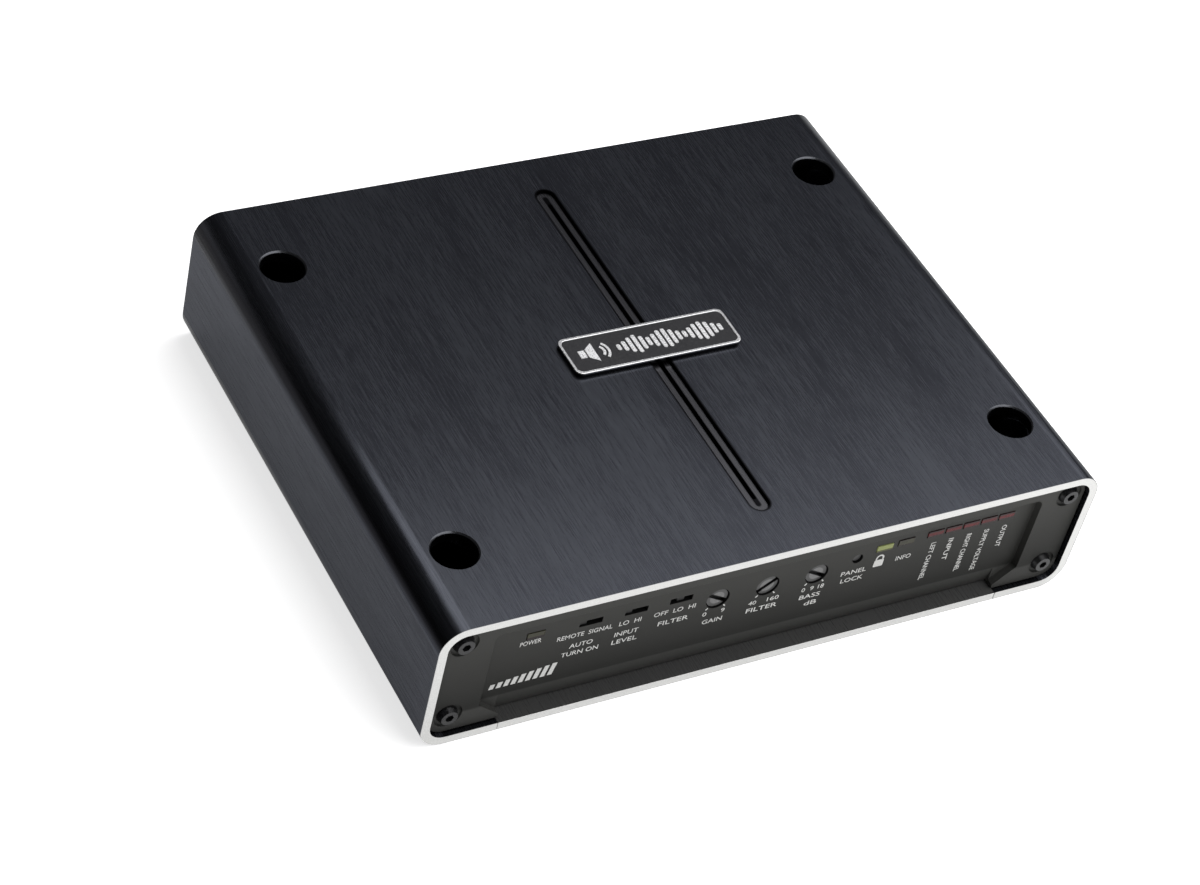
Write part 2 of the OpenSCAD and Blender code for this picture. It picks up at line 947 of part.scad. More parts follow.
module remote_jack() {
    x = remote_place[0];
    z = remote_place[1];
    half_l = remote_opening[0] / 2;
    half_h = remote_opening[1] / 2;
    shell = 1.4;
    y = [pocket_y - 11, pocket_y + 1];
    key_half_w = 2;
    key_h = 1.2;
    color([0.08, 0.08, 0.08])
    difference() {
        block(
            [x - half_l - shell, y[0] - 2, z - half_h - shell],
            [x + half_l + shell, pocket_y - rear_gap, board_z]
        );
        block([x - half_l, y[0], z - half_h], [x + half_l, y[1], z + half_h]);
        // Keyway for the plug's latch
        block([x - key_half_w, y[0], z + half_h - 1], [x + key_half_w, y[1], z + half_h + key_h]);
    }
}

terminal_x = concat(
    [for (i = [0 : 3]) speaker_first_x - i * speaker_pitch],
    [for (i = [0 : 2]) power_first_x - i * power_pitch]
);

function terminal_pitch(i) = i < 4 ? speaker_pitch : power_pitch;

// Row of open bays between barriers, count bays from first_x towards -X
module terminal_block(first, count) {
    pitch = terminal_pitch(first);
    x1 = terminal_x[first] + pitch / 2 + block_end_wall;
    x0 = terminal_x[first] - (count - 0.5) * pitch - block_end_wall;
    barrier = 1.2;
    bay_half = [pitch / 2 - barrier / 2, terminal_half_h - barrier];
    screw_room = 0.4;
    difference() {
        union() {
            block(
                [x0, terminal_back_y, terminal_z - terminal_half_h],
                [x1, block_face_y, terminal_z + terminal_half_h]
            );
            block([x0, terminal_back_y, terminal_z], [x1, pocket_y - 1, board_z]);
        }
        for (i = [first : first + count - 1]) {
            place = [terminal_x[i], terminal_z];
            face_box(place, bay_half, [plate_y - plate_t, half_d + 1]);
            rod_y(terminal_screw_r + screw_room, terminal_back_y + eps, plate_y, place);
        }
    }
}

module speaker_terminal_block() {
    color([0.07, 0.07, 0.07])
        terminal_block(0, 4);
}

module power_terminal_block() {
    color([0.07, 0.07, 0.07])
        terminal_block(4, 3);
}

// Contact plates at the floor of each bay, threaded for the screws
module terminal_plates() {
    edge_x = 0.7;
    edge_z = 1.4;
    thread_gap = 0.1;
    color([0.8, 0.68, 0.35])
    for (i = [0 : 6]) {
        place = [terminal_x[i], terminal_z];
        half = [terminal_pitch(i) / 2 - edge_x, terminal_half_h - edge_z];
        difference() {
            face_box(place, half, [plate_y - plate_t, plate_y]);
            rod_y(terminal_screw_r + thread_gap, plate_y - 2, plate_y + 1, place);
        }
    }
}

// Captive square washer that presses a cable lug onto its contact plate
module terminal_washer(i) {
    place = [terminal_x[i], terminal_z];
    half_l = terminal_pitch(i) / 2 - 1;
    y0 = plate_y + washer_gap;
    color([0.75, 0.75, 0.76])
    difference() {
        face_box(place, [half_l, half_l], [y0, y0 + washer_t]);
        rod_y(terminal_screw_r + turning_gap, plate_y - 1, plate_y + 2, place);
    }
}

// Pan-head screw with a cross recess
module terminal_screw(i) {
    place = [terminal_x[i], terminal_z];
    head_y = plate_y + washer_gap + washer_t + head_gap;
    shank_y = plate_y - 5;
    cross_w = 1;
    cross_l = 3.4;
    cross_depth = 1.2;
    color([0.8, 0.8, 0.82])
    difference() {
        union() {
            rod_y(terminal_screw_r, shank_y, head_y + 1, place);
            rod_y(screw_head_r, head_y, head_y + head_t, place);
        }
        for (turn = [0, 90])
            translate([place[0], head_y + head_t, place[1]])
                rotate([0, turn, 0])
                    cube([cross_l, 2 * cross_depth, cross_w], center = true);
    }
}

module fuse_holder() {
    half = [fuse_size[0], fuse_size[2]] / 2;
    fuse_gap = 0.3;
    blade_room = [fuse_blade_half_w + 0.6, 1.2];
    color([0.08, 0.08, 0.08])
    difference() {
        union() {
            for (z = fuse_places_z)
                face_box([fuse_place_x, z], half + fuse_wall * [1, 1], [fuse_back_y, block_face_y]);
            block(
                [fuse_place_x - half[0], fuse_back_y, fuse_places_z[0]],
                [fuse_place_x + half[0], pocket_y - 4, board_z]
            );
        }
        for (z = fuse_places_z) {
            face_box([fuse_place_x, z], half + fuse_gap * [1, 1], [fuse_seat_y, half_d]);
            for (side = [-1, 1])
                face_box(
                    [fuse_place_x + side * fuse_blade_x, z],
                    blade_room,
                    [fuse_back_y + 1, fuse_seat_y + 1]
                );
        }
    }
}

// Two spring leaves on each side of every blade
module fuse_clips() {
    leaf_z = 0.8;
    leaf_half_t = 0.35;
    color([0.75, 0.72, 0.6])
    for (z = fuse_places_z, side = [-1, 1], leaf = [-leaf_z, leaf_z])
        face_box(
            [fuse_place_x + side * fuse_blade_x, z + leaf],
            [fuse_blade_half_w, leaf_half_t],
            [fuse_back_y + 1, fuse_seat_y - 0.5]
        );
}

// Blade fuse: moulded body with a waist, and two flat blades
module blade_fuse(z) {
    half = [fuse_size[0], fuse_size[2]] / 2;
    y0 = fuse_seat_y + 0.1;
    y1 = y0 + fuse_size[1];
    waist_half = [4, 0.8];
    blade_half = [fuse_blade_half_w, 0.33];
    color([0.25, 0.6, 0.3, 0.7])
    difference() {
        face_box([fuse_place_x, z], half, [y0, y1]);
        for (side = [-half[1], half[1]])
            face_box([fuse_place_x, z + side], waist_half, [y0 + 2, y1 - 1.5]);
    }
    color([0.75, 0.75, 0.76])
    for (side = [-1, 1])
        face_box(
            [fuse_place_x + side * fuse_blade_x, z],
            blade_half,
            [y0 - fuse_blade_len, y0 + 2]
        );
}

module left_fuse() {
    blade_fuse(fuse_places_z[0]);
}

module right_fuse() {
    blade_fuse(fuse_places_z[1]);
}

chassis();
bottom_cover();
front_panel();
rear_panel();
badge_rim();
badge_plate();
front_panel_screws();
rear_panel_screws();
bottom_cover_screws();
main_board();
board_screws();
power_transistors();
thermal_pads();
clamp_bars();
clamp_screws();
transformer_core();
transformer_winding();
choke_cores();
choke_windings();
input_capacitors();
rail_capacitors();
control_chips();
dial_bodies();
gain_dial();
crossover_dial();
boost_dial();
switch_bodies();
turn_on_switch();
input_level_switch();
crossover_switch();
lock_switch_body();
lock_button();
indicator_leds();
level_leds();
rca_housing();
rca_shells();
rca_sockets();
remote_jack();
speaker_terminal_block();
power_terminal_block();
terminal_plates();
for (i = [0 : 6])
    terminal_screw(i);
for (i = [0 : 6])
    terminal_washer(i);
fuse_holder();
fuse_clips();
left_fuse();
right_fuse();
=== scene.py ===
"""Looks of the compact car amplifier: materials, printed marks and small fittings on the CAD frame."""

import json
from math import cos, pi, radians, sin

import bmesh
import bpy
from mathutils import Matrix, Vector


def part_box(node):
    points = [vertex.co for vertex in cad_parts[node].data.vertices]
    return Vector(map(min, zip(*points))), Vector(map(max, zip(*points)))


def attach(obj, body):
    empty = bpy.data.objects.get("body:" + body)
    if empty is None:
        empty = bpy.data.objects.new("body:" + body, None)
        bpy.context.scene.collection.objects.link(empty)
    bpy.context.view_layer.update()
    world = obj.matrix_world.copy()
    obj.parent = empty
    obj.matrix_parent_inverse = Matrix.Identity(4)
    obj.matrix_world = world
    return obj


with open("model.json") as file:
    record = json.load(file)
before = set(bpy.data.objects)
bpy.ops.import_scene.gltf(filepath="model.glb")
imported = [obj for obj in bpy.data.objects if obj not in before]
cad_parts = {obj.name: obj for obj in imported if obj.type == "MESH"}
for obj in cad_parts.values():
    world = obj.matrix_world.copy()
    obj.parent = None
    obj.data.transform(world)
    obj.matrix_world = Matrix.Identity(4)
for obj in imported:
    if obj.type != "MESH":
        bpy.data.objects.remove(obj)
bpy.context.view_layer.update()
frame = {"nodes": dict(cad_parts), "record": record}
nodes = frame["nodes"]
MM = 0.001
BODY = "amplifier"

# ---------------------------------------------------------------- places taken from the frame, in metres

case_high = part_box("chassis")[1]
panel_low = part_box("front_panel")[0]
rear_low, rear_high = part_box("rear_panel")
plate_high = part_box("badge_plate")[1]
HALF_DEPTH = case_high.y
TOP_Z = case_high.z
CORNER_R = 7 * MM
# Floor of the control panel's recess
RECESS_FLOOR_Y = panel_low.y + 2.0 * MM
# Middles of the mounting bores, mirrored to all four corners
MOUNT_X, MOUNT_Y = 0.079, 0.051
# The long groove: radius of its ends, and the middle and half of its length along Y
GROOVE_R = 2.7 * MM
GROOVE_MID_Y = 0.75 * MM
GROOVE_HALF_L = 61.25 * MM

# ---------------------------------------------------------------- colours by place on the object

# Bright metal at the case's ends: its reach round the outer and inner rims, and the dark line outside it
BRIGHT_OUTER_RIM = 0.22 * MM
BRIGHT_INNER_RIM = 0.08 * MM
DARK_EDGE = 0.12 * MM
# Share of bright metal in the chamfers of the mounting bores, and where they lie
CHAMFER_SHINE = 0.06
CHAMFER_R = 6.15 * MM
CHAMFER_DEPTH = 0.45 * MM
# Tint of the case's glancing reflections
EDGE_TINT = (0.55, 0.55, 0.55)

# The colours below stand in for light and shade that were matched in one lighting. They are fixed to the
# object, so they stay on it in any other light, and they don't show what the real finish is.
GROOVE_FLOOR = (0.070, 0.070, 0.076)
GROOVE_RIM = (0.007, 0.007, 0.008)
ROUND_EDGE = (0.012, 0.012, 0.014)
# The dark band on the round edges: heights where it comes in and goes out, and its reach from each side
BAND_IN = (32.9 * MM, 35.2 * MM)
BAND_OUT = (36.8 * MM, 39.4 * MM)
BAND_REACH = 5 * MM
PANEL_TOP = (0.050, 0.050, 0.047)
PANEL_SLOPE = (0.040, 0.040, 0.038)
PANEL_HOLE = (0.007, 0.007, 0.007)
RIM_SIDE = (0.012, 0.012, 0.013)
LENS_EDGE = (0.012, 0.007, 0.007)
DIAL_RING = (0.006, 0.006, 0.006)


def centre(node):
    """Middle of a CAD node's box."""
    low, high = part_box(node)
    return (low + high) / 2


# ---------------------------------------------------------------- camera

CAMERA_AZIMUTH = radians(-37.598)
CAMERA_ELEVATION = radians(42.495)
CAMERA_ROLL = radians(15.095)
CAMERA_DISTANCE = 0.80369
CAMERA_SIDE = -0.00474
CAMERA_UP = 0.00377
CAMERA_LENS = 92.34


def add_camera():
    """Camera at the photograph's viewing angle, aimed a little beside the case's foot."""
    a, e, roll = CAMERA_AZIMUTH, CAMERA_ELEVATION, CAMERA_ROLL
    back = Vector((sin(a) * cos(e), -cos(a) * cos(e), sin(e)))
    level = Vector((cos(a), sin(a), 0))
    upright = back.cross(level)
    right = cos(roll) * level + sin(roll) * upright
    up = cos(roll) * upright - sin(roll) * level
    data = bpy.data.cameras.new("camera")
    data.sensor_fit = "HORIZONTAL"
    data.sensor_width = 36
    data.lens = CAMERA_LENS
    data.clip_end = 50
    camera = bpy.data.objects.new("camera", data)
    bpy.context.scene.collection.objects.link(camera)
    place = back * CAMERA_DISTANCE + right * CAMERA_SIDE + up * CAMERA_UP
    turn = Matrix((right, up, back)).transposed().to_4x4()
    camera.matrix_world = Matrix.Translation(place) @ turn
    bpy.context.scene.camera = camera


# ---------------------------------------------------------------- floor, world and lights

SOFTBOX_X = (-0.08, 1.5)
SOFTBOX_Y = (-1.1, 0.415)
SOFTBOX_Z = 0.64
SOFTBOX_RADIANCE = 2.1
FLOOR_SIZE = 8
FLOOR_Z = -0.3 * MM
FLOOR_GLOW = 0.7
DARK_SIDE_GREY = (0.09, 0.09, 0.09)
LIGHT_SIDE_GREY = (0.27, 0.27, 0.28)


def add_area_light(name, place, aim, size, watts):
    """Rectangular softbox at place, facing aim."""
    data = bpy.data.lights.new(name, "AREA")
    data.shape = "RECTANGLE"
    data.size, data.size_y = size
    data.energy = watts
    lamp = bpy.data.objects.new(name, data)
    bpy.context.scene.collection.objects.link(lamp)
    direction = Vector(aim) - Vector(place)
    turn = direction.to_track_quat("-Z", "Y").to_matrix().to_4x4()
    lamp.matrix_world = Matrix.Translation(place) @ turn


def add_world():
    """Grey surroundings, darker on the case's left."""
    world = bpy.data.worlds.new("studio")
    bpy.context.scene.world = world
    world.use_nodes = True
    tree = world.node_tree
    tree.nodes.clear()
    output = tree.nodes.new("ShaderNodeOutputWorld")
    background = tree.nodes.new("ShaderNodeBackground")
    coords = tree.nodes.new("ShaderNodeTexCoord")
    split = tree.nodes.new("ShaderNodeSeparateXYZ")
    tree.links.new(coords.outputs["Generated"], split.inputs[0])
    across = spread(tree, split.outputs["X"], 0, 1, -0.35, 0.4)
    greys = blend_colours(tree, across, DARK_SIDE_GREY, LIGHT_SIDE_GREY)
    tree.links.new(greys, background.inputs["Color"])
    tree.links.new(background.outputs[0], output.inputs[0])


def add_stage():
    """Pale floor that gives off light, so that it comes out white, and a wide softbox above the camera."""
    bpy.ops.mesh.primitive_plane_add(size=FLOOR_SIZE, location=(0, 0, FLOOR_Z))
    floor = bpy.context.object
    floor.name = "floor"
    material, tree, shader = new_material("floor_paper")
    shader.inputs["Base Color"].default_value = (0.94, 0.94, 0.94, 1)
    shader.inputs["Roughness"].default_value = 0.9
    shader.inputs["Specular IOR Level"].default_value = 0.1
    shader.inputs["Emission Color"].default_value = (1, 1, 1, 1)
    shader.inputs["Emission Strength"].default_value = FLOOR_GLOW
    floor.data.materials.append(material)
    width, depth = SOFTBOX_X[1] - SOFTBOX_X[0], SOFTBOX_Y[1] - SOFTBOX_Y[0]
    middle = (sum(SOFTBOX_X) / 2, sum(SOFTBOX_Y) / 2, SOFTBOX_Z)
    watts = SOFTBOX_RADIANCE * pi * width * depth
    add_area_light("overhead", middle, (middle[0], middle[1], 0), (width, depth), watts)


# ---------------------------------------------------------------- materials

def new_material(name):
    """An empty principled material: (material, its node tree, its shader)."""
    material = bpy.data.materials.new(name)
    material.use_nodes = True
    tree = material.node_tree
    return material, tree, tree.nodes["Principled BSDF"]


def noise(tree, stretch, scale, detail=3.0, roughness=0.5):
    """Noise over the row frame, stretched per axis; returns its output socket."""
    coords = tree.nodes.new("ShaderNodeTexCoord")
    mapping = tree.nodes.new("ShaderNodeMapping")
    mapping.inputs["Scale"].default_value = stretch
    field = tree.nodes.new("ShaderNodeTexNoise")
    field.inputs["Scale"].default_value = scale
    field.inputs["Detail"].default_value = detail
    field.inputs["Roughness"].default_value = roughness
    tree.links.new(coords.outputs["Object"], mapping.inputs["Vector"])
    tree.links.new(mapping.outputs[0], field.inputs["Vector"])
    return field.outputs["Fac"]


def spread(tree, value, low, high, from_low=0.3, from_high=0.7):
    """Maps a value to a range, held at its ends."""
    remap = tree.nodes.new("ShaderNodeMapRange")
    remap.inputs["From Min"].default_value = from_low
    remap.inputs["From Max"].default_value = from_high
    remap.inputs["To Min"].default_value = low
    remap.inputs["To Max"].default_value = high
    tree.links.new(value, remap.inputs["Value"])
    return remap.outputs["Result"]


def blend_colours(tree, factor, colour_a, colour_b):
    """Mix of two colours or colour sockets."""
    mix = tree.nodes.new("ShaderNodeMix")
    mix.data_type = "RGBA"
    tree.links.new(factor, mix.inputs["Factor"])
    for socket, colour in ((mix.inputs["A"], colour_a), (mix.inputs["B"], colour_b)):
        if isinstance(colour, tuple):
            socket.default_value = (*colour, 1)
        else:
            tree.links.new(colour, socket)
    return mix.outputs["Result"]


def blend_values(tree, factor, value_a, value_b):
    """Mix of two numbers or number sockets."""
    mix = tree.nodes.new("ShaderNodeMix")
    mix.data_type = "FLOAT"
    tree.links.new(factor, mix.inputs["Factor"])
    for socket, value in ((mix.inputs["A"], value_a), (mix.inputs["B"], value_b)):
        if isinstance(value, (int, float)):
            socket.default_value = value
        else:
            tree.links.new(value, socket)
    return mix.outputs["Result"]


def calculate(tree, operation, *values):
    """One math node over numbers and sockets."""
    math_node = tree.nodes.new("ShaderNodeMath")
    math_node.operation = operation
    for socket, value in zip(math_node.inputs, values):
        if isinstance(value, (int, float)):
            socket.default_value = value
        else:
            tree.links.new(value, socket)
    return math_node.outputs[0]


def weighted_sum(tree, a, b, share_a, share_b):
    """Two values added in the given shares."""
    part_a = calculate(tree, "MULTIPLY", a, share_a)
    part_b = calculate(tree, "MULTIPLY", b, share_b)
    return calculate(tree, "ADD", part_a, part_b)


# Depth of the bump on grained surfaces and on the brushed case, in metres
GRAIN_DEPTH = 0.00001
BRUSHED_DEPTH = 0.000004


def add_bump(tree, shader, height, depth):
    """Bump of a given depth in metres."""
    bump = tree.nodes.new("ShaderNodeBump")
    bump.inputs["Strength"].default_value = 1.0
    bump.inputs["Distance"].default_value = depth
    tree.links.new(height, bump.inputs["Height"])
    tree.links.new(bump.outputs[0], shader.inputs["Normal"])


def grained(name, dark, light, roughness, metallic=0.0, scale=900.0, stretch=(1, 1, 1), **sockets):
    """Plain surface with fine grain: colour, roughness and bump all vary with one noise."""
    material, tree, shader = new_material(name)
    fine = noise(tree, stretch, scale, 4.0)
    broad = noise(tree, (1, 1, 1), 45.0, 3.0)
    tint = weighted_sum(tree, fine, broad, 0.6, 0.4)
    tree.links.new(blend_colours(tree, spread(tree, tint, 0, 1), dark, light), shader.inputs["Base Color"])
    tree.links.new(spread(tree, tint, roughness[0], roughness[1]), shader.inputs["Roughness"])
    add_bump(tree, shader, fine, GRAIN_DEPTH)
    shader.inputs["Metallic"].default_value = metallic
    for socket, value in sockets.items():
        shader.inputs[socket.replace("_", " ")].default_value = value
    return material


def position(tree):
    """Sockets of the row frame's X, Y and Z, in metres."""
    coords = tree.nodes.new("ShaderNodeTexCoord")
    split = tree.nodes.new("ShaderNodeSeparateXYZ")
    tree.links.new(coords.outputs["Object"], split.inputs[0])
    return split.outputs


def distance_2d(tree, u, v):
    """Length of the vector (u, v)."""
    return calculate(tree, "SQRT", calculate(tree, "ADD", calculate(tree, "MULTIPLY", u, u),
                                             calculate(tree, "MULTIPLY", v, v)))


def fade(tree, value, start, end):
    """1 below start, 0 above end, in metres."""
    remap = tree.nodes.new("ShaderNodeMapRange")
    remap.inputs["From Min"].default_value = start
    remap.inputs["From Max"].default_value = end
    remap.inputs["To Min"].default_value = 1.0
    remap.inputs["To Max"].default_value = 0.0
    tree.links.new(value, remap.inputs["Value"])
    return remap.outputs["Result"]


def inset_from_outline(tree, x, z):
    """How far a point of the end face is inside the case's outline, negated; the underside isn't counted."""
    qx = calculate(tree, "SUBTRACT", calculate(tree, "ABSOLUTE", x), case_high.x - CORNER_R)
    qz = calculate(tree, "SUBTRACT", z, case_high.z - CORNER_R)
    outer = distance_2d(tree, calculate(tree, "MAXIMUM", qx, 0.0), calculate(tree, "MAXIMUM", qz, 0.0))
    inner = calculate(tree, "MINIMUM", calculate(tree, "MAXIMUM", qx, qz), 0.0)
    return calculate(tree, "SUBTRACT", calculate(tree, "ADD", outer, inner), CORNER_R)


def anodised(name, dark, light, metallic=1.0):
    """Black-anodised aluminium brushed along Y, with bright ends and faintly bright bore chamfers."""
    material, tree, shader = new_material(name)
    fine = noise(tree, (1, 0.045, 1), 3200.0, 2.0, 0.6)
    streak = noise(tree, (1, 0.02, 1), 1300.0, 3.0, 0.55)
    cloud = noise(tree, (1, 0.25, 1), 38.0, 3.0, 0.5)
    grain = weighted_sum(tree, fine, streak, 0.6, 0.4)
    both = weighted_sum(tree, grain, cloud, 0.7, 0.3)
    dyed = blend_colours(tree, spread(tree, both, 0, 1, 0.38, 0.62), dark, light)

    x, y, z = position(tree)
    # The groove: painted shade on its rim and slot, and painted light on its floor, which makes it lighter
    from_mid_y = calculate(tree, "ABSOLUTE", calculate(tree, "SUBTRACT", y, GROOVE_MID_Y))
    beyond = calculate(tree, "SUBTRACT", from_mid_y, GROOVE_HALF_L - GROOVE_R)
    from_middle = distance_2d(tree, x, calculate(tree, "MAXIMUM", beyond, 0.0))
    rim = calculate(tree, "ABSOLUTE", calculate(tree, "SUBTRACT", from_middle, GROOVE_R))
    at_top = calculate(tree, "GREATER_THAN", z, TOP_Z - 2.5 * MM)
    near_rim = fade(tree, rim, 0.25 * MM, 0.6 * MM)
    in_slot = fade(tree, from_middle, 0.6 * MM, 0.9 * MM)
    on_rim = calculate(tree, "MULTIPLY", calculate(tree, "MAXIMUM", near_rim, in_slot), at_top)
    inside = fade(tree, from_middle, GROOVE_R - 0.5 * MM, GROOVE_R - 0.1 * MM)
    on_floor = calculate(tree, "MULTIPLY", inside, at_top)
    dyed = blend_colours(tree, on_floor, dyed, GROOVE_FLOOR)
    dyed = blend_colours(tree, on_rim, dyed, GROOVE_RIM)

    # Painted shade: the dark band along the round long edges
    beside = calculate(tree, "GREATER_THAN", calculate(tree, "ABSOLUTE", x), case_high.x - BAND_REACH)
    above = calculate(tree, "SUBTRACT", 1.0, fade(tree, z, *BAND_IN))
    band = calculate(tree, "MULTIPLY", above, fade(tree, z, *BAND_OUT))
    dyed = blend_colours(tree, calculate(tree, "MULTIPLY", band, beside), dyed, ROUND_EDGE)

    inset = inset_from_outline(tree, x, z)
    inner_half = fade(tree, inset, -1.2 * MM, -1.1 * MM)
    least = blend_values(tree, inner_half, HALF_DEPTH - BRIGHT_OUTER_RIM, HALF_DEPTH - BRIGHT_INNER_RIM)
    ends = calculate(tree, "GREATER_THAN", calculate(tree, "ABSOLUTE", y), least)
    ends = calculate(tree, "MULTIPLY", ends, fade(tree, inset, -DARK_EDGE - 0.1 * MM, -DARK_EDGE + 0.1 * MM))
    dx = calculate(tree, "SUBTRACT", calculate(tree, "ABSOLUTE", x), MOUNT_X)
    dy = calculate(tree, "SUBTRACT", calculate(tree, "ABSOLUTE", y), MOUNT_Y)
    near_bore = calculate(tree, "LESS_THAN", distance_2d(tree, dx, dy), CHAMFER_R)
    high_up = calculate(tree, "GREATER_THAN", z, TOP_Z - CHAMFER_DEPTH)
    on_chamfer = calculate(tree, "MULTIPLY", near_bore, high_up)
    chamfer = calculate(tree, "MULTIPLY", on_chamfer, CHAMFER_SHINE)
    bright = calculate(tree, "MAXIMUM", ends, chamfer)

    turned = noise(tree, (1, 1, 1), 3800.0, 2.0)
    silver = blend_colours(tree, spread(tree, turned, 0, 1), (0.46, 0.46, 0.45), (0.60, 0.60, 0.59))
    tree.links.new(blend_colours(tree, bright, dyed, silver), shader.inputs["Base Color"])
    dyed_rough = spread(tree, both, 0.25, 0.31, 0.41, 0.59)
    silver_rough = spread(tree, turned, 0.26, 0.38)
    tree.links.new(blend_values(tree, bright, dyed_rough, silver_rough), shader.inputs["Roughness"])
    tree.links.new(blend_values(tree, bright, metallic, 1.0), shader.inputs["Metallic"])
    shader.inputs["Specular Tint"].default_value = (*EDGE_TINT, 1)
    add_bump(tree, shader, grain, BRUSHED_DEPTH)
    return material


def badge_metal(name):
    """Bright metal whose sides get painted shade: a dark base colour below the plate's top."""
    material = grained(name, (0.72, 0.72, 0.73), (0.92, 0.92, 0.92), (0.18, 0.32), 1.0, 2500.0)
    tree = material.node_tree
    shader = tree.nodes["Principled BSDF"]
    bright = shader.inputs["Base Color"].links[0].from_socket
    low_down = fade(tree, position(tree)[2], plate_high.z - 0.35 * MM, plate_high.z - 0.15 * MM)
    tree.links.new(blend_colours(tree, low_down, bright, RIM_SIDE), shader.inputs["Base Color"])
    return material


def panel_paint(name):
    """Satin black paint. Its greys by height stand in for light, as said at PANEL_TOP."""
    material = grained(name, (0.0135, 0.0135, 0.0125), (0.0185, 0.0185, 0.0172), (0.42, 0.55), 0.0, 3000.0,
                       Specular_IOR_Level=0.05)
    tree = material.node_tree
    shader = tree.nodes["Principled BSDF"]
    paint = shader.inputs["Base Color"].links[0].from_socket
    # Painted light: lighter towards the panel's top, and on the slope at its foot
    height = fade(tree, position(tree)[2], 36 * MM, 10 * MM)
    grey = blend_colours(tree, height, paint, PANEL_TOP)
    grey = blend_colours(tree, fade(tree, position(tree)[2], 8 * MM, 8.8 * MM), grey, PANEL_SLOPE)
    # Painted shade: dark inside the holes, deeper than the recess floor and above the slope
    y, z = position(tree)[1:3]
    above_slope = calculate(tree, "GREATER_THAN", z, 9.2 * MM)
    behind_floor = calculate(tree, "LESS_THAN", calculate(tree, "ABSOLUTE", y), -RECESS_FLOOR_Y - 0.06 * MM)
    in_hole = calculate(tree, "MULTIPLY", above_slope, behind_floor)
    tree.links.new(blend_colours(tree, in_hole, grey, PANEL_HOLE), shader.inputs["Base Color"])
    return material


def dial_face(name, middle):
    """Moulded grey rotor round the dial's own axis, with painted shade: a dark ring round it, and dark where
    it is sunk behind the recess floor.
    """
    material = grained(name, (0.055, 0.055, 0.055), (0.12, 0.12, 0.12), (0.3, 0.45), scale=2400.0)
    tree = material.node_tree
    shader = tree.nodes["Principled BSDF"]
    grey = shader.inputs["Base Color"].links[0].from_socket
    x, y, z = position(tree)
    dx = calculate(tree, "SUBTRACT", x, middle.x)
    dz = calculate(tree, "SUBTRACT", z, middle.z)
    radius = distance_2d(tree, dx, dz)
    # Painted shade on the ring and on whatever lies deeper than the recess floor
    sunk = calculate(tree, "GREATER_THAN", y, RECESS_FLOOR_Y + 0.6 * MM)
    ring = calculate(tree, "SUBTRACT", 1.0, fade(tree, radius, 1.85 * MM, 2.05 * MM))
    black = calculate(tree, "MAXIMUM", ring, sunk)
    tree.links.new(blend_colours(tree, black, grey, DIAL_RING), shader.inputs["Base Color"])
    return material


def shade_lens_edges(material, middle_z, half_height):
    """Paints shade on a row of lenses, above and below a strip along their middle."""
    tree = material.node_tree
    shader = tree.nodes["Principled BSDF"]
    off_middle = calculate(tree, "ABSOLUTE", calculate(tree, "SUBTRACT", position(tree)[2], middle_z))
    strip = fade(tree, off_middle, half_height - 0.1 * MM, half_height + 0.15 * MM)
    tinted = shader.inputs["Base Color"].links[0].from_socket
    tree.links.new(blend_colours(tree, strip, LENS_EDGE, tinted), shader.inputs["Base Color"])


def lit_between(material, x0, x1, colour, strength):
    """Makes the part of a lens material between two X positions glow."""
    tree = material.node_tree
    shader = tree.nodes["Principled BSDF"]
    x = position(tree)[0]
    past_x0 = calculate(tree, "GREATER_THAN", x, x0)
    inside = calculate(tree, "MULTIPLY", past_x0, calculate(tree, "LESS_THAN", x, x1))
    pale = shader.inputs["Base Color"].links[0].from_socket
    tree.links.new(blend_colours(tree, inside, pale, colour), shader.inputs["Base Color"])
    shader.inputs["Emission Color"].default_value = (*colour, 1)
    tree.links.new(calculate(tree, "MULTIPLY", inside, strength), shader.inputs["Emission Strength"])


def lens(name, dark, light, glow, strength):
    """Tinted moulded lens over a lamp; a dark one has no glow."""
    material = grained(name, dark, light, (0.2, 0.35), scale=500.0, Specular_IOR_Level=0.12)
    shader = material.node_tree.nodes["Principled BSDF"]
    shader.inputs["Emission Color"].default_value = (*glow, 1)
    shader.inputs["Emission Strength"].default_value = strength
    return material


